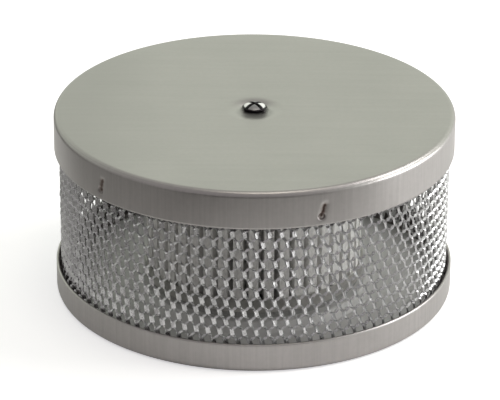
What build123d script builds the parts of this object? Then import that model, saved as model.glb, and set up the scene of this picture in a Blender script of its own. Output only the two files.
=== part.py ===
"""Filler breather for a hydraulic tank: a round sheet-metal can with an expanded-metal wall.

Air passes the expanded-metal screen, the open space behind it, a small pleated paper element
and its perforated core, and goes down through a splash cup and the hub into the filler pipe.
The base is at Z = 0, +Z points up, and the can's axis is the Z axis. Sizes are in mm.
"""

import os
from math import cos, degrees, hypot, pi, radians, sin, tan

from build123d import *

# ---- driving dimensions ----------------------------------------------------------
# can
can_diameter = 100.0
can_height = 47.8  # foot to the lid's flat top
lid_sheet = 0.7
lid_skirt = 9.5
lid_corner = 1.4  # outside radius
pan_sheet = 0.7
pan_rim = 7.5
pan_corner = 1.5  # outside radius

# tack dents that hold the lid's skirt on the screen
dent_count = 5
dent_first = -47.3  # degrees from the front, counter-clockwise seen from above
dent_step = 66.5
dent_drop = 5.7  # below the lid's flat top, to the dent's middle
dent_depth = 0.35
dent_width = 2.0
dent_length = 3.4

# expanded-metal screen
screen_sheet = 0.55
screen_relief = 0.75  # how far the tilted strands stand out of the sheet
screen_columns = 30
screen_half_rows = 4
strand_width = 1.9
strand_slant = 38.0  # degrees, the way the openings look to one side
bond_share = 0.3  # share of a strand's pitch that is the steep side

# filter element
pleat_count = 44
pleat_depth = 7.0
paper = 0.5
disc_clearance = 0.5  # end disc to the hub's flange, on the radius
core_sheet = 0.5
core_columns = 12
core_rows = 5
core_opening_width = 5.4
core_opening_height = 6.4
disc_sheet = 0.4
disc_rim = 3.4
potting = 1.2
gasket_thickness = 2.0
gasket_inset = 0.5  # inside the element's width, at each edge

# threaded hub, for a G 3/4 thread
thread_minor = 24.12
hub_wall = 3.45
hub_length = 15.0
hub_flange_step = 3.0  # beyond the hub's wall
hub_flange_thickness = 2.0
hub_chamfer = 0.5
swage_thickness = 0.8
swage_width = 1.5
swage_neck = 1.85  # wall that is left inside the base sheet

# raised seat pressed into the base, with the element on it and a gasket under it
seat_height = 2.2
seat_margin = 0.3  # flat beyond the element and the gasket, on the radius
seat_bend = 0.5  # inside radius of its bends
seal_clearance = 1.1  # swaged edge to seal, on the radius
seal_width = 5.0
seal_thickness = 1.9

# splash cup over the hub
cup_sheet = 0.7
cup_rise = 8.0  # above the hub's top
cup_windows = 8
cup_window_height = 3.4
cup_window_share = 0.55  # of the wall's round
cup_corner = 1.6  # outside radius
crimp_bend = 0.1  # inside radius of the lip in the groove
groove_drop = 5.0  # below the hub's top
groove_depth = 0.8

# tie screw and its nut
screw_diameter = 3.0
screw_tail = 3.5  # past the nut
head_diameter = 6.15
head_height = 1.5
head_rim = 0.45
recess_span = 4.7  # across the mouth
recess_root_span = 2.3
recess_blade = 0.85
recess_root_blade = 0.5
recess_depth = 1.0
recess_turn = 42.0  # degrees
nut_width = 5.5
nut_height = 2.4

# clearances
screen_gap = 0.1  # screen to skirt and rim, on the radius
fit_gap = 0.05  # nut, cup and groove
hole_gap = 0.2  # screw to the plain holes
dent_gap = 0.03  # dent to its pocket in the screen
disc_gap = 0.15  # element and core to the discs' rims

front = -90.0  # direction of -Y, in degrees from +X

# ---- derived sizes ---------------------------------------------------------------
can_radius = can_diameter / 2
lid_inside = can_radius - lid_sheet
pan_inside = can_radius - pan_sheet
screen_outer = min(lid_inside, pan_inside) - screen_gap
screen_inner = screen_outer - screen_relief - screen_sheet
screen_bottom = pan_corner
screen_top = can_height - lid_corner

hub_bore = thread_minor / 2
hub_radius = hub_bore + hub_wall
flange_radius = hub_radius + hub_flange_step
pan_hole = hub_bore + swage_neck
swage_radius = pan_hole + swage_width
seal_inner = swage_radius + seal_clearance
seal_outer = seal_inner + seal_width

disc_inner = flange_radius + disc_clearance
core_inner = disc_inner + disc_sheet + disc_gap
core_outer = core_inner + core_sheet
element_inner_radius = core_outer + fit_gap
element_outer_radius = element_inner_radius + pleat_depth
disc_outer = element_outer_radius + disc_gap + disc_sheet
seat_radius = max(seal_outer, disc_outer) + seat_margin + seat_bend
foot_radius = seat_radius + seat_height

flange_z = seat_height + pan_sheet
lower_gasket_z = flange_z
lower_disc_z = lower_gasket_z + gasket_thickness
element_bottom = lower_disc_z + disc_sheet + potting
upper_gasket_z = can_height - lid_sheet - gasket_thickness
upper_disc_z = upper_gasket_z - disc_sheet
element_top = upper_disc_z - potting

hub_bottom = seat_height - swage_thickness
hub_top = hub_bottom + hub_length

groove_z = hub_top - groove_drop
groove_radius = hub_radius - groove_depth
cup_inside = hub_radius + fit_gap
cup_outside = cup_inside + cup_sheet
cup_top = hub_top + cup_rise

screw_hole = screw_diameter / 2 + hole_gap
nut_top = cup_top - cup_sheet
screw_end = nut_top - nut_height - screw_tail


# ---- helpers ---------------------------------------------------------------------
def turned(outline):
    """Ring or disc turned about Z from a closed (radius, height) outline."""
    wire = Polyline(*[(r, 0, z) for r, z in outline], close=True)
    return revolve(make_face(wire), Axis.Z)


def ring(inner, outer, low, high):
    """Plain flat ring."""
    return turned([(inner, low), (outer, low), (outer, high), (inner, high)])


def pressed(outer, outer_bends, inner, inner_bends):
    """Sheet-metal pressing turned about Z from its two faces, each a bent line."""
    skin = FilletPolyline(*[(r, 0, z) for r, z in outer], radius=outer_bends)
    back = FilletPolyline(*[(r, 0, z) for r, z in inner], radius=inner_bends)
    ends = [Line(skin @ 0, back @ 0), Line(skin @ 1, back @ 1)]
    return revolve(make_face([*skin.edges(), *back.edges(), *ends]), Axis.Z)


def diamond(half_width, half_height):
    """Upright diamond on the XY plane."""
    corners = (half_width, 0), (0, half_height), (-half_width, 0), (0, -half_height)
    return make_face(Polyline(*corners, close=True))


def around(count, first=0.0, step=None):
    """Angles in degrees of a pattern about Z."""
    step = 360 / count if step is None else step
    return [first + step * index for index in range(count)]


def polar(radius, angle):
    """Point in the XY plane, with the angle in degrees."""
    return radius * cos(radians(angle)), radius * sin(radians(angle))


def pointing(angle, radius, height):
    """Plane whose normal is the radial direction at that angle, with +Z as its Y."""
    x, y = polar(radius, angle)
    tangent = (-sin(radians(angle)), cos(radians(angle)), 0)
    outward = (cos(radians(angle)), sin(radians(angle)), 0)
    return Plane(origin=(x, y, height), x_dir=tangent, z_dir=outward)


# ---- can -------------------------------------------------------------------------
def dent_tool(angle, growth):
    """Capsule whose outer side is a dent in the skirt, grown by the sheet behind it."""
    half = dent_width / 2
    ball = (half**2 + dent_depth**2) / (2 * dent_depth)
    reach = (dent_length - dent_width) / 2
    axis = pointing(front + angle, can_radius + ball - dent_depth, can_height - dent_drop)
    tool = axis * Pos(0, -reach, 0) * Sphere(ball + growth)
    tool += axis * Pos(0, reach, 0) * Sphere(ball + growth)
    return tool + axis * Rot(90, 0, 0) * Cylinder(ball + growth, 2 * reach)


def dent_angles():
    return around(dent_count, dent_first, dent_step)


def top_cap():
    """Pressed lid: flat top, plain skirt and tack dents around the skirt."""
    skirt_end = can_height - lid_skirt
    under = can_height - lid_sheet
    lid = pressed(
        [(screw_hole, can_height), (can_radius, can_height), (can_radius, skirt_end)],
        [lid_corner],
        [(screw_hole, under), (lid_inside, under), (lid_inside, skirt_end)],
        [lid_corner - lid_sheet],
    )
    inside = Pos(0, 0, can_height - lid_skirt / 2) * Cylinder(lid_inside, lid_skirt)
    for angle in dent_angles():
        lid += dent_tool(angle, lid_sheet) & inside
        lid -= dent_tool(angle, 0)
    return lid


def base_pan():
    """Pressed base: flat foot, upright rim and a raised seat round the hub's hole."""
    shift = pan_sheet * tan(pi / 8)
    under = [
        (pan_hole, seat_height),
        (seat_radius, seat_height),
        (foot_radius, 0),
        (can_radius, 0),
        (can_radius, pan_rim),
    ]
    floor = [
        (pan_hole, seat_height + pan_sheet),
        (seat_radius + shift, seat_height + pan_sheet),
        (foot_radius + shift, pan_sheet),
        (pan_inside, pan_sheet),
        (pan_inside, pan_rim),
    ]
    thick_bend = seat_bend + pan_sheet
    return pressed(
        under,
        [seat_bend, thick_bend, pan_corner],
        floor,
        [thick_bend, seat_bend, pan_corner - pan_sheet],
    )


def strand_ring(offset):
    """Saw-tooth line of the tilted strands, seen from above."""
    teeth = 2 * screen_columns
    pitch = 360 / teeth
    points = []
    for angle in around(teeth, front - pitch / 2):
        points.append(polar(screen_outer - offset, angle))
        points.append(polar(screen_outer - screen_relief - offset, angle + pitch * (1 - bond_share)))
    return make_face(Polyline(*points, close=True))


def screen_gap_tool(angle, height, half_width, half_height):
    """Slanted diamond that cuts one opening of the screen."""
    plane = pointing(angle, screen_inner - screen_sheet, height)
    slant = radians(angle + strand_slant)
    depth = (screen_outer - screen_inner + 2 * screen_sheet) / cos(radians(strand_slant))
    shift = plane.x_dir * (-depth / 2 * sin(radians(strand_slant)))
    face = Pos(*shift) * (plane * diamond(half_width, half_height))
    return extrude(face, depth, dir=(cos(slant), sin(slant), 0))


def outer_screen():
    """Expanded-metal wall: tilted strands with staggered diamond openings between them."""
    height = screen_top - screen_bottom
    wall = extrude(strand_ring(0) - strand_ring(screen_sheet), height)
    wall = Pos(0, 0, screen_bottom) * wall
    visible = can_height - lid_skirt - pan_rim
    half_row = visible / screen_half_rows
    half_pitch = pi * screen_outer / screen_columns
    inset = strand_width / 2 * hypot(half_pitch, half_row) / (half_pitch * half_row)
    half_width, half_height = half_pitch * (1 - inset), half_row * (1 - inset)
    gaps = []
    for row in range(screen_half_rows):
        first = front + (row % 2) * 180 / screen_columns
        middle = pan_rim + half_row * (row + 0.5)
        for angle in around(screen_columns, first):
            gaps.append(screen_gap_tool(angle, middle, half_width, half_height))
    pockets = [dent_tool(angle, lid_sheet + dent_gap) for angle in dent_angles()]
    return wall - gaps - pockets


# ---- filter element --------------------------------------------------------------
def pleat_line(crest, root, lean):
    """Line of square folds: crests and roots of equal angle, joined by radial flanks."""
    pitch = 360 / pleat_count
    points = []
    for middle in around(pleat_count):
        for radius, side in ((root, -1), (crest, -1), (crest, 1), (root, 1)):
            half = pitch / 4 + degrees(lean / radius)
            points.append(polar(radius, middle + side * half))
    return make_face(Polyline(*points, close=True))


def pleated_medium():
    """Folded filter paper, one sheet closed into a ring."""
    half = paper / 2
    crest, root = element_outer_radius, element_inner_radius
    folds = pleat_line(crest, root + paper, half) - pleat_line(crest - paper, root, -half)
    return Pos(0, 0, element_bottom) * extrude(folds, element_top - element_bottom)


def core_tube():
    """Tube with staggered diamond openings that carries the folds' inner ends."""
    height = element_top - element_bottom
    tube = ring(core_inner, core_outer, element_bottom, element_top)
    opening = diamond(core_opening_width / 2, core_opening_height / 2)
    holes = []
    for row in range(core_rows):
        middle = element_bottom + height * (row + 0.5) / core_rows
        for angle in around(core_columns, (row % 2) * 180 / core_columns):
            plane = pointing(angle, core_inner - core_sheet, middle)
            holes.append(extrude(plane * opening, 3 * core_sheet))
    return tube - holes


def end_disc(plate_z, facing):
    """Channel-shaped end disc; facing is +1 with its rims up and -1 with them down."""
    far = plate_z if facing > 0 else plate_z + disc_sheet
    near = far + facing * disc_sheet
    rim = far + facing * disc_rim
    return turned(
        [
            (disc_inner, far),
            (disc_outer, far),
            (disc_outer, rim),
            (disc_outer - disc_sheet, rim),
            (disc_outer - disc_sheet, near),
            (disc_inner + disc_sheet, near),
            (disc_inner + disc_sheet, rim),
            (disc_inner, rim),
        ]
    )


def potting_ring(low):
    """Cast compound that bonds the folds and the core into an end disc."""
    return ring(disc_inner + disc_sheet, disc_outer - disc_sheet, low, low + potting)


def element_gasket(low):
    """Flat gasket between the element and the can."""
    inner, outer = core_outer + gasket_inset, disc_outer - disc_sheet - gasket_inset
    return ring(inner, outer, low, low + gasket_thickness)


# ---- hub and splash cup ----------------------------------------------------------
def threaded_hub():
    """Turned hub, swaged over the base sheet; its bore takes the filler pipe's thread."""
    flange_top = flange_z + hub_flange_thickness
    groove_low = groove_z - cup_sheet - fit_gap
    groove_high = groove_z + fit_gap
    return turned(
        [
            (hub_bore + hub_chamfer, hub_bottom),
            (swage_radius, hub_bottom),
            (swage_radius, seat_height),
            (pan_hole, seat_height),
            (pan_hole, flange_z),
            (flange_radius, flange_z),
            (flange_radius, flange_top),
            (hub_radius, flange_top),
            (hub_radius, groove_low),
            (groove_radius, groove_low),
            (groove_radius, groove_high),
            (hub_radius, groove_high),
            (hub_radius, hub_top - hub_chamfer),
            (hub_radius - hub_chamfer, hub_top),
            (hub_bore + hub_chamfer, hub_top),
            (hub_bore, hub_top - hub_chamfer),
            (hub_bore, hub_bottom + hub_chamfer),
        ]
    )


def splash_cup():
    """Inverted cup crimped into the hub's groove, with air windows round its wall."""
    lip = groove_radius + fit_gap
    low = groove_z - cup_sheet
    cup = pressed(
        [(screw_hole, cup_top), (cup_outside, cup_top), (cup_outside, low), (lip, low)],
        [cup_corner, crimp_bend + cup_sheet],
        [(screw_hole, nut_top), (cup_inside, nut_top), (cup_inside, groove_z), (lip, groove_z)],
        [cup_corner - cup_sheet, crimp_bend],
    )
    window_middle = (hub_top + cup_top) / 2
    window_width = 2 * pi * cup_outside / cup_windows * cup_window_share
    windows = []
    for angle in around(cup_windows):
        plane = pointing(angle, cup_inside - cup_sheet, window_middle)
        window = Rectangle(window_width, cup_window_height)
        windows.append(extrude(plane * window, 3 * cup_sheet))
    return cup - windows


def hub_seal():
    """Flat gasket in the recess under the base, for the collar of the filler pipe."""
    return ring(seal_inner, seal_outer, seat_height - seal_thickness, seat_height)


# ---- tie screw -------------------------------------------------------------------
def tie_screw():
    """Low-headed cross-recessed screw that draws the lid down on the splash cup."""
    head_radius = head_diameter / 2
    crown = head_height - head_rim
    dome = (head_radius**2 + crown**2) / (2 * crown)
    top = can_height + head_height
    ball = Pos(0, 0, top - dome) * Sphere(dome)
    head = Pos(0, 0, can_height + head_height / 2) * Cylinder(head_radius, head_height)
    screw = head & ball
    shank = Cylinder(screw_diameter / 2, can_height - screw_end)
    screw += Pos(0, 0, (can_height + screw_end) / 2) * shank
    for turn in (0, 90):
        root = Pos(0, 0, top - recess_depth) * Rectangle(recess_root_span, recess_root_blade)
        blade = loft([root, Pos(0, 0, top) * Rectangle(recess_span, recess_blade)])
        screw -= Rot(0, 0, recess_turn + turn) * blade
    return screw


def captive_nut():
    """Hexagon nut fixed under the splash cup's top."""
    hexagon = RegularPolygon(nut_width / 2, 6, major_radius=False)
    hexagon -= Circle(screw_diameter / 2 + fit_gap)
    return Pos(0, 0, nut_top - nut_height) * extrude(hexagon, nut_height)


# ---- pieces ----------------------------------------------------------------------
def pieces():
    return {
        "top_cap": top_cap(),
        "base_pan": base_pan(),
        "outer_screen": outer_screen(),
        "pleated_medium": pleated_medium(),
        "core_tube": core_tube(),
        "upper_end_disc": end_disc(upper_disc_z, -1),
        "lower_end_disc": end_disc(lower_disc_z, 1),
        "upper_potting": potting_ring(element_top),
        "lower_potting": potting_ring(lower_disc_z + disc_sheet),
        "upper_gasket": element_gasket(upper_gasket_z),
        "lower_gasket": element_gasket(lower_gasket_z),
        "threaded_hub": threaded_hub(),
        "splash_cup": splash_cup(),
        "hub_seal": hub_seal(),
        "tie_screw": tie_screw(),
        "captive_nut": captive_nut(),
    }


def main():
    os.makedirs("parts", exist_ok=True)
    for name, piece in pieces().items():
        export_step(piece, f"parts/{name}.step")


if __name__ == "__main__":
    main()
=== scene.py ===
"""Looks of a hydraulic filler breather, laid out as a Blender add-on that runs as a script.

The lid, the base, the tie screw and the expanded-metal wall are made here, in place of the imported
solids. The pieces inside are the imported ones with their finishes. Lengths are in metres.
"""

from math import cos, hypot, pi, radians, sin, sqrt, tan

import bpy
import numpy as np
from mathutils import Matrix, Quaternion, Vector


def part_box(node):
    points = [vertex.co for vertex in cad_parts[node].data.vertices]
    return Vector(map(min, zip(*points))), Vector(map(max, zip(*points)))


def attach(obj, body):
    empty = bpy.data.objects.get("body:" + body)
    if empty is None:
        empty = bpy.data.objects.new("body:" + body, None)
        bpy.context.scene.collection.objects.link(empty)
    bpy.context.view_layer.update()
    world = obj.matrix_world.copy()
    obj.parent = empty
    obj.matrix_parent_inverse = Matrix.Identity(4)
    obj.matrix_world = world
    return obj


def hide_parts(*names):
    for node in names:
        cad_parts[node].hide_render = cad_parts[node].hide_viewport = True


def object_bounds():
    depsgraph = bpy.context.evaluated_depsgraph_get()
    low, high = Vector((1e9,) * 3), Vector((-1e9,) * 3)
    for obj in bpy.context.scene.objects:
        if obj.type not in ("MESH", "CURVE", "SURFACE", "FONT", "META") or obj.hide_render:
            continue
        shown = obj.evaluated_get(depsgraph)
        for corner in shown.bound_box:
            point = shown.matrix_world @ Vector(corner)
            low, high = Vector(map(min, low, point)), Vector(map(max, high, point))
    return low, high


bl_info = {
    "name": "Filler Breather",
    "version": (1, 0, 0),
    "blender": (4, 5, 0),
    "location": "3D View > Sidebar > Breather",
    "description": "Dresses the filler breather's packed model and sets its stage",
    "category": "Object",
}

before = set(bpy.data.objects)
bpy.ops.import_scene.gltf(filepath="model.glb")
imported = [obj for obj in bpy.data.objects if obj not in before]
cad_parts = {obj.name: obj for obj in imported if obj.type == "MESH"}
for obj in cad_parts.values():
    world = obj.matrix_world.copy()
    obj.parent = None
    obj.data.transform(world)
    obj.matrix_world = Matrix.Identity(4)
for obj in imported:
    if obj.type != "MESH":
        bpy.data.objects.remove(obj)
CAD_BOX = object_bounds()
MM = 0.001
FRONT = -pi / 2  # direction of -Y from +X


def node_size(node):
    """A node's outer radius about Z, and its lowest and highest Z."""
    low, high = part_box(node)
    return (high[0] - low[0]) / 2, low[2], high[2]


CAN_RADIUS, SKIRT_END, LID_TOP = node_size("top_cap")
_, FOOT, RIM_TOP = node_size("base_pan")

# tack marks round the skirt, in degrees from the front: a leaning groove with a round pit at its lower end
TACK_FIRST, TACK_STEP, TACK_COUNT = -47.3, 66.5, 5
GROOVE_TOP, GROOVE_MIDDLE, GROOVE_END = 4.4, 5.7, 6.9  # millimetres below the lid's top
GROOVE_LEAN = 0.25  # sideways for each millimetre down
GROOVE_DEPTH, GROOVE_WIDTH = 0.22 * MM, 1.0 * MM
PIT_DROP, PIT_SIDE = 7.2, 0.35  # millimetres below the lid's top, and to the side
PIT_DEPTH, PIT_RADIUS = 0.3 * MM, 0.85 * MM
PIT_EDGE = 0.72  # radius of the burnt ring about the pit, in millimetres

# the pressed lid and base
EDGE_BREAK = 0.1 * MM  # on the raw edges of the skirt and the rim
SCREW_HOLE = 1.7 * MM  # radius
SEAT_HOLE, SEAT_RADIUS, SEAT_RISE, SEAT_BEND = 13.91 * MM, 28.46 * MM, 2.2 * MM, 0.5 * MM
# depths under the outer faces where the dull inside begins and is full: at the wall, the foot and the top
WALL_SKIN, FOOT_SKIN, LID_SKIN = (0.3 * MM, 0.6 * MM), (0.2 * MM, 0.4 * MM), (0.3 * MM, 0.5 * MM)
JOINT_SHADE = (1.8 * MM, 1.2 * MM)  # in from the can's outside, where the painted shade inside the joints begins and is full

# pipe thread in the hub's bore
THREAD_CREST, THREAD_PITCH = 12.06 * MM, 1.814 * MM

# tie screw
RECESS_TURN, RECESS_ARM, RECESS_REACH = 42.0, 0.42, 1.9  # its cross, in degrees and millimetres
RECESS_DEPTH, RECESS_SLOPE = 0.75 * MM, 2.2
HEAD_UNDERCUT, HEAD_RIM = 0.8 * MM, 0.45 * MM  # the head is widest at its rim, that far above the lid
HEAD_DOME = 2.6  # power of the radius by which the dome falls
SHANK_RADIUS, SHANK_POINT = 2.0 * MM, 0.5 * MM  # with a chamfer at its end
SHANK_PLAIN, SHANK_PITCH, SHANK_THREAD = 1.0 * MM, 0.7 * MM, 0.3 * MM  # plain under the head, then a thread
HAIR = 0.01 * MM  # radius of the ring that closes an outline at the axis, and least rise of the dome

# expanded-metal wall
WALL_END = 1.5 * MM  # from the foot, and from the lid's top
FREE_PLACES, FREE_LEAN = (0.28, 0.72), 0.55  # a strand's rings between bonds, and how far they still lean
WALL_WAVE, WALL_SWAY = 0.035 * MM, 0.03 * MM  # unevenness in and out, and sideways


# ---- properties ------------------------------------------------------------------
def colour_setting(name, description, default):
    return bpy.props.FloatVectorProperty(
        name=name, description=description, default=default, size=3, subtype="COLOR", min=0, max=1
    )


def length_setting(name, description, default):
    return bpy.props.FloatProperty(name=name, description=description, default=default, unit="LENGTH")


def share_setting(name, description, default):
    return bpy.props.FloatProperty(
        name=name, description=description, default=default, min=0, max=1, subtype="FACTOR"
    )


def power_setting(name, description, default):
    return bpy.props.FloatProperty(name=name, description=description, default=default, unit="POWER")


class LidSettings(bpy.types.PropertyGroup):
    """Sizes and colours of the pressed lid and base."""

    sheet: length_setting("Sheet", "Thickness of the sheet", 0.7 * MM)
    lid_corner: length_setting("Lid corner", "Outside radius of the lid's edge", 1.4 * MM)
    base_corner: length_setting("Base corner", "Outside radius of the base's edge", 1.5 * MM)
    colour: colour_setting("Plating", "Colour of the plated sheet", (0.434, 0.416, 0.41))
    roughness: share_setting("Roughness", "Roughness of the plated sheet", 0.34)
    inside: colour_setting("Inside", "Colour of the dull zinc inside", (0.74, 0.735, 0.73))
    halo: colour_setting("Heat tint", "Colour round the tack marks", (0.17, 0.12, 0.095))
    # scorch is also the colour of the painted shade on the insides, past the joints with the wall
    scorch: colour_setting("Scorch", "Colour of the tack marks and of dirty joints", (0.05, 0.033, 0.03))


class ScreenSettings(bpy.types.PropertyGroup):
    """Sizes and colours of the expanded-metal wall."""

    columns: bpy.props.IntProperty(
        name="Columns", description="Openings round the wall", default=103, min=8
    )
    half_rows: length_setting("Half row", "Height from one row of bonds to the next", 2.6 * MM)
    strand: length_setting("Strand", "Width of a strand", 0.58 * MM)
    sheet: length_setting("Sheet", "Thickness of the sheet", 0.4 * MM)
    drop: length_setting("Drop", "From the can's outside to the bonds' proudest corners", 1.15 * MM)
    middle: bpy.props.FloatProperty(
        name="Middle",
        description="Width of a strand between bonds, against its width there",
        default=1.45,
        min=0.1,
    )
    bond: length_setting("Bond", "Height of a bond between two strands", 1.3 * MM)
    slant: length_setting("Slant", "How far a bond's ends are off its middle, sideways", 0.15 * MM)
    tilt: bpy.props.FloatProperty(
        name="Tilt",
        description="Turn of the strands to the left between bonds",
        default=radians(28),
        subtype="ANGLE",
    )
    knuckle: bpy.props.FloatProperty(
        name="Knuckle", description="Turn of the bonds to the right", default=radians(38), subtype="ANGLE"
    )
    colour: colour_setting("Metal", "Colour of the strands", (0.62, 0.62, 0.63))
    # the knuckle colour is a painted highlight: brighter metal in each bond's middle, where the lamps'
    # glints fall
    bright: colour_setting("Knuckles", "Colour of the burnished bonds", (0.95, 0.94, 0.94))
    roughness: share_setting("Roughness", "Roughness of the strands", 0.28)


class FinishSettings(bpy.types.PropertyGroup):
    """Colours of the tie screw and of the carried pieces."""

    sheet: colour_setting(
        "Sheet steel", "Colour of the discs, the core tube and the splash cup", (0.6, 0.59, 0.57)
    )
    hub: colour_setting("Hub", "Colour of the turned hub", (0.52, 0.51, 0.49))
    paper: colour_setting("Filter paper", "Colour of the pleated medium", (0.9, 0.89, 0.87))
    felt: colour_setting("Felt", "Colour of the element's flat rings", (0.42, 0.42, 0.41))
    potting: colour_setting("Potting", "Colour of the compound in the end discs", (0.12, 0.12, 0.12))
    rubber: colour_setting("Rubber", "Colour of the seal under the hub", (0.03, 0.03, 0.03))
    bright: colour_setting("Bright plating", "Colour of the screw", (0.92, 0.91, 0.92))
    # head_shade is the colour of the painted shade in the screw's recess and round its rim, and of the
    # near-black painted reflection at its front and back
    head_shade: colour_setting("Grime", "Colour of the screw's recess and rim", (0.02, 0.018, 0.02))
    nut: colour_setting("Nut", "Colour of the captive nut", (0.6, 0.58, 0.52))


class StageSettings(bpy.types.PropertyGroup):
    """Colours of the surroundings, and strengths of the lamps."""

    floor: colour_setting("Floor", "Colour of the floor about the can", (0.87, 0.87, 0.87))
    # painted shade: the floor's colour beyond the pale stretch, standing in for less light to the front and
    # left
    painted_shade_floor: colour_setting(
        "Far floor", "Colour of the floor beyond, to the front and left", (0.095, 0.088, 0.088)
    )
    glow: colour_setting("Glow", "What the pale floor adds for the camera", (0.5, 0.5, 0.51))
    mirror_glow: share_setting("Mirror glow", "Share of the glow that mirrors see", 0.14)
    front: colour_setting("Front", "Colour of the surroundings in front and overhead", (0.4, 0.38, 0.38))
    behind: colour_setting("Behind", "Colour of the surroundings behind", (0.94, 1.0, 0.872))
    key_power: power_setting("Key", "Power of the high lamp on the right", 2.35)
    side_power: power_setting("Side", "Power of the low lamp on the right", 2.2)
    top_power: power_setting("Top", "Power of the lamp overhead", 0.6)


# ---- shaders ---------------------------------------------------------------------
class Value:
    """A socket of a node tree, with arithmetic that adds Math nodes."""

    def __init__(self, shader, socket):
        self.shader, self.socket = shader, socket

    def math(self, operation, *others):
        values = dict(enumerate((self, *others)))
        return self.shader.node("ShaderNodeMath", {"operation": operation}, values)

    def __add__(self, other):
        return self.math("ADD", other)

    def __sub__(self, other):
        return self.math("SUBTRACT", other)

    def __rsub__(self, other):
        return self.shader.node("ShaderNodeMath", {"operation": "SUBTRACT"}, {0: other, 1: self})

    def __mul__(self, other):
        return self.math("MULTIPLY", other)

    def __truediv__(self, other):
        return self.math("DIVIDE", other)

    __radd__, __rmul__ = __add__, __mul__

    def ramp(self, low, high):
        """0 below low, 1 above high and a smooth step between; low may be the larger."""
        settings = {"interpolation_type": "SMOOTHSTEP"}
        values = {"Value": self, "From Min": low, "From Max": high}
        return self.shader.node("ShaderNodeMapRange", settings, values)


class Shader:
    def __init__(self, name, kind="materials"):
        self.material = getattr(bpy.data, kind).new(name)
        self.material.use_nodes = True
        self.tree = self.material.node_tree
        self.tree.nodes.clear()

    def node(self, kind, settings=None, values=None, output=0):
        """Adds a node, with its settings first and then its sockets' values or links."""
        made = self.tree.nodes.new(kind)
        for key, item in (settings or {}).items():
            setattr(made, key, item)
        for key, item in (values or {}).items():
            if isinstance(item, Value):
                self.tree.links.new(item.socket, made.inputs[key])
            else:
                made.inputs[key].default_value = item
        return Value(self, made.outputs[output])

    def place(self, output="Object"):
        """Position on the object, or with "Generated" a world's direction, and its three numbers."""
        point = self.node("ShaderNodeTexCoord", output=output)
        return point, [self.part(point, axis) for axis in "XYZ"]

    def part(self, vector, axis):
        return self.node("ShaderNodeSeparateXYZ", None, {0: vector}, axis)

    def stretched(self, point, x, y, z):
        settings = {"operation": "MULTIPLY"}
        return self.node("ShaderNodeVectorMath", settings, {0: point, 1: (x, y, z)})

    def noise(self, point, scale, detail=3.0, rough=0.55):
        values = {"Vector": point, "Scale": scale, "Detail": detail, "Roughness": rough}
        return self.node("ShaderNodeTexNoise", None, values)

    def mixed(self, share, first, second):
        """Mix of two colours; such a node's sockets have numbers, because it has several of each name."""
        settings = {"data_type": "RGBA"}
        return self.node("ShaderNodeMix", settings, {0: share, 6: first, 7: second}, 2)

    def bump(self, height, strength, distance):
        values = {"Strength": strength, "Distance": distance, "Height": height}
        return self.node("ShaderNodeBump", None, values)

    def finish(self, **inputs):
        """Adds the Principled shader; names are its sockets with _ for a space."""
        values = {key.replace("_", " "): item for key, item in inputs.items()}
        surface = self.node("ShaderNodeBsdfPrincipled", None, values)
        self.tree.links.new(surface.socket, self.tree.nodes.new("ShaderNodeOutputMaterial").inputs[0])
        return self.material


def rgba(colour, shade=1.0):
    return (*(part * shade for part in colour), 1.0)


def length(a, b):
    """Length of a line from its two sides, which are Values."""
    return (a * a + b * b).math("SQRT")


def tack_marks(shader, point, x, y, z):
    """Shares of heat tint and of scorch about the tack marks, for the lid's material."""
    turn = (y.math("ARCTAN2", x) - (FRONT + radians(TACK_FIRST))) / (2 * pi)
    turn = (turn + 0.05).math("FRACT") - 0.05
    nearest = (turn * (360 / TACK_STEP)).math("ROUND").math("MINIMUM", TACK_COUNT - 1)
    across = (turn - nearest * (TACK_STEP / 360)) * (2 * pi * CAN_RADIUS / MM)
    drop = (LID_TOP - z) / MM
    lean = across + (drop - GROOVE_MIDDLE) * GROOVE_LEAN
    beyond = drop.math("MAXIMUM", GROOVE_TOP).math("MINIMUM", GROOVE_END) - drop
    groove = length(lean, beyond)
    pit = length(across + PIT_SIDE, drop - PIT_DROP)
    edge = 1 - (pit - PIT_EDGE).math("ABSOLUTE").ramp(0.1, 0.3)
    patchy = shader.noise(point, scale=1600.0)
    halo = (groove + patchy * 0.9).ramp(1.5, 0.55)
    scorch = (groove + patchy * 0.45).ramp(0.75, 0.35).math("MAXIMUM", edge * 0.8)
    fainter_left = 0.5 + x.ramp(-30 * MM, 10 * MM) * 0.38
    return halo * 0.75, scorch * fainter_left


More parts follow.
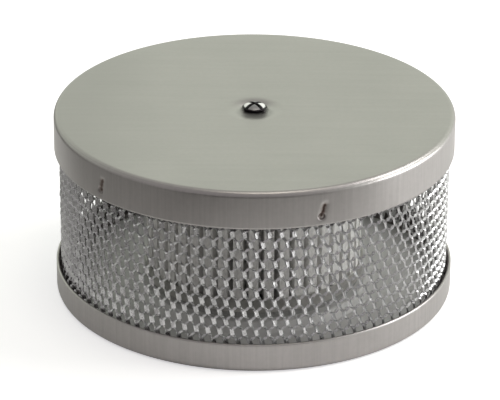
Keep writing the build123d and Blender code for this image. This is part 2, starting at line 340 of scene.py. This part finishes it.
def plated_sheet(name, settings, tacks=False):
    """Satin plated steel with cloudy tone and fine draw lines, and dull zinc inside, with painted shade on
    the inside past the joints with the wall, and on the lid painted shade on its left side.
    """
    shader = Shader(name)
    point, (x, y, z) = shader.place()
    cloud = shader.noise(point, scale=45.0, detail=4.0)
    grain = shader.noise(point, scale=900.0, detail=2.0)
    streak = shader.noise(shader.stretched(point, 1.0, 1.0, 0.03), scale=1500.0, detail=2.0)
    brush = shader.noise(shader.stretched(point, 0.04, 1.0, 1.0), scale=700.0)
    normal = shader.node("ShaderNodeNewGeometry", output="Normal")
    flat = shader.part(normal, "Z").math("ABSOLUTE").ramp(0.2, 0.8)
    upright = 1 - flat
    tone = 0.82 + cloud * 0.2 + grain * 0.12
    tone = tone + (streak - 0.5) * upright * 0.25 + (brush - 0.5) * flat * 0.1
    base = shader.mixed(tone.ramp(0.7, 1.25), rgba(settings.colour, 0.8), rgba(settings.colour, 1.2))
    rough = settings.roughness - 0.06 + cloud * 0.08 + grain * 0.08
    radius = length(x, y)
    inner = radius.ramp(*(CAN_RADIUS - depth for depth in WALL_SKIN)) * z.ramp(*FOOT_SKIN)
    inner = inner * z.ramp(*(LID_TOP - depth for depth in LID_SKIN))
    # painted shade: the insides of the lid and base past the joints with the wall are mixed towards the
    # scorch colour
    joint_shade = radius.ramp(*(CAN_RADIUS - depth for depth in JOINT_SHADE)) * 0.85
    base = shader.mixed(inner, base, shader.mixed(joint_shade, rgba(settings.inside), rgba(settings.scorch)))
    if tacks:
        # painted shade: the lid's left side, away from the lamps, is mixed towards a darker copy of its
        # plating
        painted_shade_left = x.ramp(-20 * MM, -45 * MM) * 0.35
        base = shader.mixed(painted_shade_left, base, rgba(settings.colour, 0.66))
        halo, scorch = tack_marks(shader, point, x, y, z)
        base = shader.mixed(scorch, shader.mixed(halo, base, rgba(settings.halo)), rgba(settings.scorch))
        rough = rough + halo * 0.1
    return shader.finish(
        Base_Color=base,
        Metallic=1 - inner * 0.75,
        Roughness=rough + inner * 0.2,
        Normal=shader.bump(streak * upright + grain * 0.35, 0.12, 0.08 * MM),
    )


def screw_metal(name, settings):
    """Bright plating, with painted shade in the cross recess and round the head's rim, and a near-black
    painted reflection at its front and back.
    """
    shader = Shader(name)
    point, (x, y, _) = shader.place()
    radius = length(x, y) / MM
    # painted shade in the cross recess and round the head's rim, and a near-black painted reflection at its
    # front and back, so that only the left and right of the dome stay bright
    recess = recess_distance(x / MM, y / MM).ramp(0.3, 0.0)
    head_shade = shader.noise(point, scale=1500.0)
    rim = (radius + head_shade * 0.3).ramp(2.6, 2.95)
    ends = ((y / MM).math("ABSOLUTE") - (x / MM).math("ABSOLUTE") * 1.2).ramp(0.1, 0.5)
    painted_shade_and_reflection = recess.math("MAXIMUM", rim).math("MAXIMUM", ends * 0.7)
    scratch = shader.noise(shader.stretched(point, 1.0, 0.15, 1.0), scale=5000.0, detail=2.0)
    return shader.finish(
        Base_Color=shader.mixed(painted_shade_and_reflection, rgba(settings.bright), rgba(settings.head_shade)),
        Metallic=0.4 + painted_shade_and_reflection * 0.6,
        Roughness=0.12 + painted_shade_and_reflection * 0.3 + scratch * 0.08,
        Normal=shader.bump(scratch, 0.08, 0.03 * MM),
    )


def thread_steel(name, settings):
    """Turned steel, with the pipe thread's grooves bumped into the bore and painted shade in their roots,
    and lathe lines elsewhere.
    """
    shader = Shader(name)
    point, (x, y, z) = shader.place()
    inside = length(x, y).ramp(THREAD_CREST + 0.3 * MM, THREAD_CREST + 0.1 * MM)
    turn = (z / THREAD_PITCH - y.math("ARCTAN2", x) / (2 * pi)).math("FRACT")
    groove = (turn - 0.5).math("ABSOLUTE") * 2 * inside
    lathe = shader.noise(shader.stretched(point, 0.05, 0.05, 1.0), scale=9000.0, detail=2.0)
    cloud = shader.noise(point, scale=150.0, detail=4.0)
    # random tone, with painted shade in the thread's roots and lighter colour on its crests
    shade = cloud * 0.6 + groove * 0.5
    return shader.finish(
        Base_Color=shader.mixed(shade.ramp(0.1, 0.8), rgba(settings.hub, 0.6), rgba(settings.hub, 1.15)),
        Metallic=1.0,
        Roughness=0.26 + lathe * 0.14,
        Normal=shader.bump(groove * 3 + lathe * 0.1, 0.8, 0.3 * MM),
    )


def bare_steel(name, colour, roughness, scale=300.0):
    """Plain steel with a fine uneven tone."""
    shader = Shader(name)
    point, _ = shader.place()
    cloud = shader.noise(point, scale, detail=4.0)
    fine = shader.noise(point, scale * 8, detail=2.0)
    return shader.finish(
        Base_Color=shader.mixed(cloud.ramp(0.3, 0.7), rgba(colour, 0.82), rgba(colour, 1.15)),
        Metallic=1.0,
        Roughness=roughness - 0.08 + fine * 0.16,
        Normal=shader.bump(fine, 0.1, 0.05 * MM),
    )


def strand_metal(name, settings):
    """Steel strands with a random tone, painted shade round the middle of each bond, and a painted
    highlight of brighter metal in that middle.
    """
    shader = Shader(name)
    point, (x, y, z) = shader.place()
    # every other row's bonds are half a column on; 1000 and 100 keep both numbers above 0
    column = y.math("ARCTAN2", x) * (settings.columns / (2 * pi)) + settings.columns / 4 + 1000.25
    row = (z - (FOOT + WALL_END + settings.bond / 2)) / settings.half_rows + 100
    even = row.math("ROUND")
    across = (column - (even / 2).math("FRACT")).math("FRACT") - 0.5
    along = row - even
    # painted shade round each bond's middle, and a painted highlight of brighter metal in that middle
    bond_shade = (across * across * 40 + along * along * 9).ramp(1.0, 0.45)
    knuckle = (across * across * 80 + along * along * 30).ramp(1.0, 0.45)
    cloud = shader.noise(point, scale=500.0, detail=4.0)
    fine = shader.noise(point, scale=4000.0, detail=2.0)
    dull = shader.mixed(cloud.ramp(0.3, 0.7), rgba(settings.colour, 0.85), rgba(settings.colour, 1.1))
    dull = shader.mixed(bond_shade * 0.6, dull, rgba(settings.colour, 0.6))
    return shader.finish(
        Base_Color=shader.mixed(knuckle, dull, rgba(settings.bright)),
        Metallic=1.0,
        Roughness=settings.roughness - 0.06 + fine * 0.12 + knuckle * 0.06,
        Normal=shader.bump(fine, 0.1, 0.04 * MM),
    )


def filter_paper(name, colour):
    """Resin-soaked fibre paper."""
    shader = Shader(name)
    point, _ = shader.place()
    fibre = shader.noise(shader.stretched(point, 1.0, 1.0, 0.35), scale=1800.0, detail=4.0, rough=0.7)
    patch = shader.noise(point, scale=120.0)
    return shader.finish(
        Base_Color=shader.mixed(fibre.ramp(0.3, 0.7), rgba(colour, 0.85), rgba(colour, 1.15)),
        Roughness=0.75 + patch * 0.2,
        Normal=shader.bump(fibre, 0.5, 0.1 * MM),
    )


def felt_ring(name, colour):
    """Pressed felt with short matted fibres."""
    shader = Shader(name)
    point, _ = shader.place()
    fibre = shader.noise(shader.stretched(point, 1.0, 0.4, 1.0), scale=2600.0, detail=5.0, rough=0.75)
    return shader.finish(
        Base_Color=shader.mixed(fibre.ramp(0.3, 0.7), rgba(colour, 0.75), rgba(colour, 1.2)),
        Roughness=0.85 + fibre * 0.15,
        Normal=shader.bump(fibre, 0.6, 0.15 * MM),
    )


def soft_black(name, colour, roughness):
    """Rubber or cast compound with a faint bloom."""
    shader = Shader(name)
    point, _ = shader.place()
    bloom = shader.noise(point, scale=150.0, detail=4.0)
    grain = shader.noise(point, scale=2500.0, detail=2.0)
    return shader.finish(
        Base_Color=shader.mixed(bloom.ramp(0.35, 0.75), rgba(colour), rgba(colour, 1.7)),
        Roughness=roughness + bloom * 0.15,
        Normal=shader.bump(grain, 0.2, 0.06 * MM),
    )


# ---- meshes ----------------------------------------------------------------------
def add_piece(name, vertices, faces, material, node, smooth=True):
    """Makes a mesh object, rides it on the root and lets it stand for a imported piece."""
    mesh = bpy.data.meshes.new(name)
    mesh.from_pydata(vertices, [], faces)
    mesh.validate()
    mesh.polygons.foreach_set("use_smooth", [smooth] * len(mesh.polygons))
    mesh.materials.append(material)
    piece = bpy.data.objects.new(name, mesh)
    bpy.context.scene.collection.objects.link(piece)
    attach(piece, "root")
    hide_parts(node)


def arc(centre, radius, start, end, steps):
    """Points of a round corner of an outline, angles in degrees."""
    angles = np.radians(np.linspace(start, end, steps + 1))
    return [(centre[0] + radius * cos(a), centre[1] + radius * sin(a)) for a in angles]


def run(start, end, step):
    """Evenly spaced points from start up to, but not including, end."""
    count = max(1, round(hypot(end[0] - start[0], end[1] - start[1]) / step))
    return [tuple(start[i] + (end[i] - start[i]) * k / count for i in (0, 1)) for k in range(count)]


def turned(outline, angles, warp=None):
    """Vertices and faces of a closed outline turned about Z; warp moves the vertices."""
    r = np.array([p[0] for p in outline])
    z = np.array([p[1] for p in outline])
    a = np.array(angles)
    radius, height = np.tile(r, (len(a), 1)), np.tile(z, (len(a), 1))
    angle = np.tile(a[:, None], (1, len(r)))
    if warp:
        radius, height = warp(radius, angle, height)
    vertices = np.stack([radius * np.cos(angle), radius * np.sin(angle), height], -1).reshape(-1, 3)
    rows, columns = len(a), len(r)
    i, j = np.meshgrid(np.arange(rows), np.arange(columns), indexing="ij")
    i2, j2 = (i + 1) % rows, (j + 1) % columns
    faces = np.stack([i * columns + j, i2 * columns + j, i2 * columns + j2, i * columns + j2], -1)
    return vertices.tolist(), faces.reshape(-1, 4).tolist()


def ring_angles(count, dense=(), reach=0.0, extra=0):
    """Angles round the can, with more of them about each of the dense ones."""
    angles = set(np.round(np.linspace(0, 2 * pi, count, endpoint=False), 9))
    for middle in dense:
        near = np.linspace(middle - reach, middle + reach, extra) % (2 * pi)
        angles = {a for a in angles if abs((a - middle + pi) % (2 * pi) - pi) > reach}
        angles |= set(np.round(near, 9))
    return sorted(angles)


# ---- lid and base ----------------------------------------------------------------
ROUND_STEPS = 320
TACK_REACH, TACK_STEPS = 0.06, 41  # finer stretch to each side of a tack mark, in radians, and its steps
CORNER_STEPS, BACK_STEPS, BEND_STEPS = 14, 6, 4  # round the outside of a corner, its inside and a bend
SKIRT_STEP, RIM_STEP, TOP_STEP, SEAT_STEP, FOOT_STEP = 0.28 * MM, 0.5 * MM, 6 * MM, 2 * MM, 4 * MM
WALL_START, WALL_STOP, LIP_FALL = 0.3 * MM, 0.15 * MM, 0.12 * MM  # rings by a corner and by a raw edge
BEND_REACH = tan(pi / 8)  # reach of a half-right bend along its flats, against its radius


def tack_angles():
    return [FRONT + radians(TACK_FIRST + TACK_STEP * k) for k in range(TACK_COUNT)]


def tack_depth(angle, height):
    """How far the tack marks press the skirt in, at each vertex."""
    depth = np.zeros_like(angle)
    drop = LID_TOP - height
    for middle in tack_angles():
        across = ((angle - middle + pi) % (2 * pi) - pi) * CAN_RADIUS
        lean = across + (drop - GROOVE_MIDDLE * MM) * GROOVE_LEAN
        along = np.clip(drop, GROOVE_TOP * MM, GROOVE_END * MM) - drop
        groove = np.hypot(lean, along) / GROOVE_WIDTH
        depth += GROOVE_DEPTH * np.exp(-(groove**2) * 1.4)
        pit = np.hypot(across + PIT_SIDE * MM, drop - PIT_DROP * MM) / PIT_RADIUS
        depth += PIT_DEPTH * np.exp(-(pit**4)) - PIT_DEPTH * np.exp(-((pit * 2.2) ** 2))
    return depth


def lid_outline(sheet, corner):
    """Section of the lid: top, corner, skirt and back again inside."""
    r, top, end = CAN_RADIUS, LID_TOP, SKIRT_END
    outer = run((SCREW_HOLE, top), (r - corner, top), TOP_STEP)
    outer += arc((r - corner, top - corner), corner, 90, 0, CORNER_STEPS)
    outer += run((r, top - corner - WALL_START), (r, end + WALL_STOP), SKIRT_STEP)
    lip = [(r, end + LIP_FALL), (r - EDGE_BREAK, end), (r - sheet + EDGE_BREAK, end)]
    back = run((r - sheet, end + LIP_FALL), (r - sheet, top - corner), SKIRT_STEP)
    back += arc((r - corner, top - corner), corner - sheet, 0, 90, BACK_STEPS)
    back += run((r - corner - MM, top - sheet), (SCREW_HOLE, top - sheet), TOP_STEP)
    return outer + lip + back + [(SCREW_HOLE, top - sheet)]


class BREATHER_OT_lid(bpy.types.Operator):
    """Makes the pressed lid with its tack marks"""

    bl_idname = "breather.lid"
    bl_label = "Lid"

    def execute(self, context):
        settings = context.scene.breather_lid

        def warp(radius, angle, height):
            on_skirt = radius > CAN_RADIUS * 0.98
            return radius - tack_depth(angle, height) * on_skirt, height

        angles = ring_angles(ROUND_STEPS, tack_angles(), TACK_REACH, TACK_STEPS)
        vertices, faces = turned(lid_outline(settings.sheet, settings.lid_corner), angles, warp)
        material = plated_sheet("lid_plating", settings, tacks=True)
        add_piece("lid", vertices, faces, material, "top_cap")
        return {"FINISHED"}


def base_outline(sheet, corner):
    """Section of the base: raised seat, foot, corner and upright rim, and back again inside."""
    r, rise, bend, thick_bend = CAN_RADIUS, SEAT_RISE, SEAT_BEND, SEAT_BEND + sheet
    foot, shift = SEAT_RADIUS + rise, sheet * BEND_REACH
    under = run((SEAT_HOLE, rise), (SEAT_RADIUS - bend, rise), SEAT_STEP)
    under += arc((SEAT_RADIUS - bend * BEND_REACH, rise - bend), bend, 90, 45, BEND_STEPS)
    under += arc((foot + thick_bend * BEND_REACH, thick_bend), thick_bend, 225, 270, BACK_STEPS)
    under += run((foot + 2 * bend, 0), (r - corner, 0), FOOT_STEP)
    under += arc((r - corner, corner), corner, -90, 0, CORNER_STEPS)
    under += run((r, corner + WALL_START), (r, RIM_TOP - WALL_STOP), RIM_STEP)
    lip = [(r, RIM_TOP - LIP_FALL), (r - EDGE_BREAK, RIM_TOP), (r - sheet + EDGE_BREAK, RIM_TOP)]
    back = run((r - sheet, RIM_TOP - LIP_FALL), (r - sheet, corner), RIM_STEP)
    back += arc((r - corner, corner), corner - sheet, 0, -90, BACK_STEPS)
    back += run((r - corner - MM, sheet), (foot + shift + 2 * bend, sheet), FOOT_STEP)
    back += arc((foot + shift + bend * BEND_REACH, sheet + bend), bend, 270, 225, BEND_STEPS)
    side = SEAT_RADIUS + shift - thick_bend * BEND_REACH
    back += arc((side, rise - bend), thick_bend, 45, 90, BACK_STEPS)
    back += run((SEAT_RADIUS - bend, rise + sheet), (SEAT_HOLE, rise + sheet), SEAT_STEP)
    return under + lip + back + [(SEAT_HOLE, rise + sheet)]


class BREATHER_OT_base(bpy.types.Operator):
    """Makes the pressed base with its rim and raised seat"""

    bl_idname = "breather.base"
    bl_label = "Base"

    def execute(self, context):
        settings = context.scene.breather_lid
        outline = base_outline(settings.sheet, settings.base_corner)
        vertices, faces = turned(outline, ring_angles(ROUND_STEPS))
        material = plated_sheet("base_plating", settings)
        add_piece("base", vertices, faces, material, "base_pan")
        return {"FINISHED"}


# ---- tie screw -------------------------------------------------------------------
SHANK_STEP, DOME_STEPS, SCREW_STEPS = 0.12 * MM, 22, 96


def recess_distance(x, y):
    """How far a place on the head is outside the cross recess, in millimetres; below 0 inside.

    Of Values it takes the arms to run on for ever, for the painted shade along the recess's arms in the
    head's material.
    """
    turn = radians(RECESS_TURN)
    along, across = x * cos(turn) + y * sin(turn), y * cos(turn) - x * sin(turn)
    if isinstance(x, Value):
        along, across = along.math("ABSOLUTE"), across.math("ABSOLUTE")
        return along.math("MINIMUM", across) - RECESS_ARM
    along, across = np.abs(along), np.abs(across)
    return np.maximum(np.minimum(along, across) - RECESS_ARM, np.maximum(along, across) - RECESS_REACH)


def screw_outline(head, tip, top):
    """Section of the tie screw: shank, flat under the head, rim and dome."""
    seat, rim = LID_TOP, LID_TOP + HEAD_RIM
    outline = [(HAIR, tip), (SHANK_RADIUS - SHANK_POINT, tip)]
    outline += run((SHANK_RADIUS, tip + SHANK_POINT), (SHANK_RADIUS, seat), SHANK_STEP)
    outline += [(SHANK_RADIUS, seat), (head - HEAD_UNDERCUT, seat)]
    outline += [(head - EDGE_BREAK, rim - EDGE_BREAK), (head, rim)]
    for share in np.linspace(0, 1, DOME_STEPS)[1:]:
        radius = head * (1 - share) + HAIR * share
        outline.append((radius, rim + (top - rim) * (1 - (radius / head) ** HEAD_DOME)))
    return outline


def screw_warp(radius, angle, height):
    """Presses the cross recess into the head, and cuts the thread round the shank."""
    cut = recess_distance(radius * np.cos(angle) / MM, radius * np.sin(angle) / MM)
    on_head = height > LID_TOP + HEAD_RIM + HAIR
    height = height - on_head * np.clip(-cut * RECESS_SLOPE * MM, 0, RECESS_DEPTH)
    turn = (height / SHANK_PITCH - angle / (2 * pi)) % 1
    threaded = (height < LID_TOP - SHANK_PLAIN) & (radius > SHANK_RADIUS * 0.9)
    return radius - threaded * SHANK_THREAD * np.abs(2 * turn - 1), height


class BREATHER_OT_screw(bpy.types.Operator):
    """Makes the tie screw with its cross recess and thread"""

    bl_idname = "breather.screw"
    bl_label = "Screw"

    def execute(self, context):
        angles = np.linspace(0, 2 * pi, SCREW_STEPS, endpoint=False)
        vertices, faces = turned(screw_outline(*node_size("tie_screw")), angles, screw_warp)
        material = screw_metal("bright_screw", context.scene.breather_finish)
        add_piece("screw", vertices, faces, material, "tie_screw")
        return {"FINISHED"}


# ---- expanded-metal screen -------------------------------------------------------
def screen_rings(settings):
    """A strand's rings from the foot up: height, lean to the neighbour, turn, slant and width."""
    low, high = FOOT + WALL_END, LID_TOP - WALL_END
    half_bond, half_row = settings.bond / 2, settings.half_rows
    gap = half_row - settings.bond
    rings = []
    for row in range(int((high - low) / half_row) + 1):
        middle = low + half_bond + row * half_row
        side = -1 if row % 2 == 0 else 1
        for way in (-1, 1):
            rings.append((middle + way * half_bond, side, settings.knuckle, -way * settings.slant, 1))
        for place, way in zip(FREE_PLACES, (1, -1)):
            height = middle + half_bond + place * gap
            rings.append((height, way * side * FREE_LEAN, -settings.tilt, 0, settings.middle))
    return np.array([ring for ring in rings if ring[0] <= high]).T


def screen_corners(settings):
    """Angle, radius and height of the strands' corners, and the lean of each ring."""
    strands = 2 * settings.columns
    width, sheet = settings.strand, settings.sheet
    heights, leans, tilts, slants, widths = screen_rings(settings)
    widths = (widths * width)[:, None]
    across = np.stack([np.cos(tilts), -np.sin(tilts)], -1)
    out = np.stack([np.sin(tilts), np.cos(tilts)], -1)
    middle_radius = CAN_RADIUS - settings.drop - width * sin(settings.knuckle) - sheet / 2
    pitch = 2 * pi * middle_radius / strands
    sway = np.stack([(pitch - width * across[:, 0]) / 2, -width * across[:, 1] / 2], -1)
    grid = np.zeros((strands, len(heights), 4, 2))
    for parity, way in ((0, 1), (1, -1)):
        centre = sway * (way * leans)[:, None]
        for corner, (u, v) in enumerate(((-1, 1), (1, 1), (1, -1), (-1, -1))):
            grid[parity::2, :, corner] = centre + across * widths * (u / 2) + out * (v * sheet / 2)
    grid[..., 0] += slants[:, None]
    index = np.arange(strands)[:, None, None]
    angle = FRONT + (grid[..., 0] + index * pitch) / middle_radius
    radius = middle_radius + grid[..., 1]
    height = np.broadcast_to(heights[None, :, None], radius.shape)
    return angle, radius, height, leans


def uneven(angle, height, seed, waves=24):
    """Smooth made-up unevenness, between about -1 and 1, that closes round the can."""
    generator = np.random.default_rng(seed)
    total = np.zeros_like(angle)
    for _ in range(waves):
        turns = generator.integers(20, 240)
        rise = generator.uniform(-2600, 2600)
        total += np.sin(turns * angle + rise * height + generator.uniform(0, 2 * pi))
    return total / sqrt(waves / 2)


def join_bonds(ids, bonded, leans):
    """Gives the strands that touch at a bond the same corners there."""
    strands = len(ids)
    for k in np.flatnonzero(bonded):
        left = np.arange(0 if leans[k] > 0 else 1, strands, 2)
        right = (left + 1) % strands
        ids[right, k, 0] = ids[left, k, 1]
        ids[right, k, 3] = ids[left, k, 2]


def strand_faces(ids, bonded, leans):
    """The strands' faces and their closed ends, without the faces shut inside the bonds."""
    strands, rings = ids.shape[:2]
    faces = []
    for k in range(rings - 1):
        joined = bonded[k] and bonded[k + 1] and leans[k] == leans[k + 1]
        for side in range(4):
            shown = np.arange(strands)
            if joined and side in (1, 3):
                first = 0 if leans[k] > 0 else 1
                hidden = first if side == 1 else 1 - first
                shown = np.arange(1 - hidden, strands, 2)
            other = (side + 1) % 4
            corners = (k, side), (k + 1, side), (k + 1, other), (k, other)
            faces.append(np.stack([ids[shown, ring, corner] for ring, corner in corners], -1))
    for k, order in ((0, (0, 1, 2, 3)), (rings - 1, (3, 2, 1, 0))):
        faces.append(np.stack([ids[:, k, c] for c in order], -1))
    return np.concatenate(faces)


class BREATHER_OT_screen(bpy.types.Operator):
    """Makes the expanded-metal wall, strand by strand"""

    bl_idname = "breather.screen"
    bl_label = "Screen"

    def execute(self, context):
        settings = context.scene.breather_screen
        angle, radius, height, leans = screen_corners(settings)
        radius = radius + WALL_WAVE * uneven(angle, height, 3)
        angle = angle + WALL_SWAY / CAN_RADIUS * uneven(angle, height, 5)
        corners = np.stack([radius * np.cos(angle), radius * np.sin(angle), height], -1).reshape(-1, 3)
        ids = np.arange(len(corners)).reshape(angle.shape)
        bonded = np.abs(leans) == 1
        join_bonds(ids, bonded, leans)
        used, faces = np.unique(strand_faces(ids, bonded, leans), return_inverse=True)
        vertices, quads = corners[used].tolist(), faces.reshape(-1, 4).tolist()
        material = strand_metal("screen_metal", settings)
        add_piece("screen", vertices, quads, material, "outer_screen", smooth=False)
        return {"FINISHED"}


# ---- finishes of the carried pieces ----------------------------------------------
class BREATHER_OT_finishes(bpy.types.Operator):
    """Gives the carried pieces their materials"""

    bl_idname = "breather.finishes"
    bl_label = "Finishes"

    def execute(self, context):
        colours = context.scene.breather_finish
        steel = bare_steel("bare_steel", colours.sheet, 0.38)
        felt, potting = felt_ring("felt", colours.felt), soft_black("potting", colours.potting, 0.5)
        finishes = {
            "pleated_medium": filter_paper("filter_paper", colours.paper),
            "core_tube": steel,
            "upper_end_disc": steel,
            "lower_end_disc": steel,
            "splash_cup": steel,
            "threaded_hub": thread_steel("hub_steel", colours),
            "upper_potting": potting,
            "lower_potting": potting,
            "upper_gasket": felt,
            "lower_gasket": felt,
            "hub_seal": soft_black("seal_rubber", colours.rubber, 0.6),
            "captive_nut": bare_steel("nut_steel", colours.nut, 0.3),
        }
        for node, material in finishes.items():
            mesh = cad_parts[node].data
            mesh.materials.clear()
            mesh.materials.append(material)
        return {"FINISHED"}


# ---- stage -----------------------------------------------------------------------
FLOOR_HALF, FLOOR_DROP = 4.0, 0.02 * MM
PALE_MIDDLE, PALE_REACH = (0.015, 0.09), (0.125, 0.2)  # the ellipse of pale floor about the can, in X and Y
LAMPS = {  # width and height, place, height of its aim, and colour
    "key": ((0.5, 0.3), (0.6, 0.1, 0.6), 0.02, (1.0, 0.97, 0.97)),
    "side": ((0.4, 0.2), (0.62, 0.0, 0.08), 0.02, (1.0, 1.0, 1.0)),
    "top": ((0.25, 0.25), (0.08, -0.1, 0.8), 0.03, (1.0, 0.95, 0.82)),
}
LENS, SENSOR = 235.0, 36.0  # in millimetres
CAMERA_RISE, CAMERA_ROLL, CAMERA_DISTANCE = radians(25.086), radians(0.3234), 16.4575 * CAN_RADIUS
AIM_RIGHT, AIM_UP = -1.0125 * MM, -0.1376 * MM  # from the point that the camera circles


def add_light(name, power):
    """Soft rectangular lamp, turned to a point above the can's foot."""
    size, place, height, colour = LAMPS[name]
    data = bpy.data.lights.new(name, "AREA")
    data.shape, data.size, data.size_y = "RECTANGLE", size[0], size[1]
    data.energy, data.color = power, colour
    lamp = bpy.data.objects.new(name, data)
    bpy.context.scene.collection.objects.link(lamp)
    lamp.location = place
    lamp.rotation_mode = "QUATERNION"
    lamp.rotation_quaternion = (Vector((0, 0, height)) - Vector(place)).to_track_quat("-Z", "Y")


def add_camera():
    """Long-lens camera in front, looking down on the can."""
    data = bpy.data.cameras.new("camera")
    data.lens, data.sensor_width = LENS, SENSOR
    data.clip_start, data.clip_end = 0.01, 50
    camera = bpy.data.objects.new("camera", data)
    bpy.context.scene.collection.objects.link(camera)
    aim = Vector((0, 0, LID_TOP - CAN_RADIUS / 2))
    camera.location = aim + Vector((0, -cos(CAMERA_RISE), sin(CAMERA_RISE))) * CAMERA_DISTANCE
    aim += Vector((AIM_RIGHT, 0, 0)) + Vector((0, sin(CAMERA_RISE), cos(CAMERA_RISE))) * AIM_UP
    camera.rotation_mode = "QUATERNION"
    roll = Quaternion((0, 0, 1), CAMERA_ROLL)
    camera.rotation_quaternion = (aim - camera.location).to_track_quat("-Z", "Y") @ roll
    bpy.context.scene.camera = camera


def add_floor(stage):
    """Large pale floor with painted shade that turns it grey to the front and left, beyond the can's
    surroundings, in place of less light there.
    """
    half = FLOOR_HALF
    corners = [(-half, -half, 0), (half, -half, 0), (half, half, 0), (-half, half, 0)]
    mesh = bpy.data.meshes.new("floor")
    mesh.from_pydata(corners, [], [(0, 1, 2, 3)])
    shader = Shader("floor_paper")
    point, (x, y, _) = shader.place()
    # painted shade on the floor: away, front_left and paler_left shape where the floor turns grey
    away = length((x - PALE_MIDDLE[0]) / PALE_REACH[0], (y - PALE_MIDDLE[1]) / PALE_REACH[1])
    front_left = 1 - (x * 0.85 + y * 0.5).ramp(0.02, 0.17)
    paler_left = 1 - (y * 0.4 - x).ramp(0.02, 0.14) * 0.3
    floor_shade = away.ramp(1.0, 1.25) * front_left * paler_left
    tone = shader.noise(point, scale=4.0, detail=2.0)
    pale = shader.mixed(tone, rgba(stage.floor, 0.99), rgba(stage.floor, 1.01))
    rays = ("Is Camera Ray", "Is Glossy Ray", "Is Transmission Ray")
    camera, mirror, glass = (shader.node("ShaderNodeLightPath", output=ray) for ray in rays)
    glow = (camera + mirror * stage.mirror_glow + glass) * (1 - floor_shade)
    mesh.materials.append(
        shader.finish(
            Base_Color=shader.mixed(floor_shade, pale, rgba(stage.painted_shade_floor)),
            Roughness=0.9,
            Emission_Color=shader.mixed(glow, (0, 0, 0, 1), rgba(stage.glow)),
            Emission_Strength=1.0,
        )
    )
    floor = bpy.data.objects.new("floor", mesh)
    bpy.context.scene.collection.objects.link(floor)
    floor.location.z = CAD_BOX[0][2] - FLOOR_DROP


def add_world(stage):
    """Even pale surroundings, dimmer in front and overhead."""
    shader = Shader("studio", "worlds")
    _, (x, y, z) = shader.place("Generated")
    behind, overhead = (y * 0.9 + x * 0.3).ramp(-0.7, 0.7), z.ramp(0.5, 0.85) * 0.75
    colour = shader.mixed(behind, rgba(stage.front), rgba(stage.behind))
    colour = shader.mixed(overhead, colour, rgba(stage.front))
    background = shader.node("ShaderNodeBackground", None, {"Color": colour, "Strength": 1.0})
    shader.tree.links.new(background.socket, shader.tree.nodes.new("ShaderNodeOutputWorld").inputs[0])
    bpy.context.scene.world = shader.material


class BREATHER_OT_stage(bpy.types.Operator):
    """Sets up the floor, the surroundings, the soft lamps and the camera"""

    bl_idname = "breather.stage"
    bl_label = "Stage"

    def execute(self, context):
        context.scene.view_settings.view_transform = "Standard"
        stage = context.scene.breather_stage
        add_floor(stage)
        add_world(stage)
        for name, power in zip(LAMPS, (stage.key_power, stage.side_power, stage.top_power)):
            add_light(name, power)
        add_camera()
        return {"FINISHED"}


# ---- panel and registration ------------------------------------------------------
SETTINGS = {
    "breather_lid": LidSettings,
    "breather_screen": ScreenSettings,
    "breather_finish": FinishSettings,
    "breather_stage": StageSettings,
}
OPERATORS = (
    BREATHER_OT_stage,
    BREATHER_OT_lid,
    BREATHER_OT_base,
    BREATHER_OT_screw,
    BREATHER_OT_screen,
    BREATHER_OT_finishes,
)


class BREATHER_PT_panel(bpy.types.Panel):
    """Lists the breather's settings and steps"""

    bl_label = "Filler breather"
    bl_space_type = "VIEW_3D"
    bl_region_type = "UI"
    bl_category = "Breather"

    def draw(self, context):
        for group, settings in SETTINGS.items():
            for name in settings.__annotations__:
                self.layout.prop(getattr(context.scene, group), name)
        for operator in OPERATORS:
            self.layout.operator(operator.bl_idname)


CLASSES = (*SETTINGS.values(), *OPERATORS, BREATHER_PT_panel)


def register():
    for item in CLASSES:
        bpy.utils.register_class(item)
    for group, settings in SETTINGS.items():
        setattr(bpy.types.Scene, group, bpy.props.PointerProperty(type=settings))


def unregister():
    for group in SETTINGS:
        delattr(bpy.types.Scene, group)
    for item in reversed(CLASSES):
        bpy.utils.unregister_class(item)


def main():
    register()
    bpy.ops.breather.stage()
    bpy.ops.breather.lid()
    bpy.ops.breather.base()
    bpy.ops.breather.screw()
    bpy.ops.breather.screen()
    bpy.ops.breather.finishes()


if __name__ == "__main__":
    main()
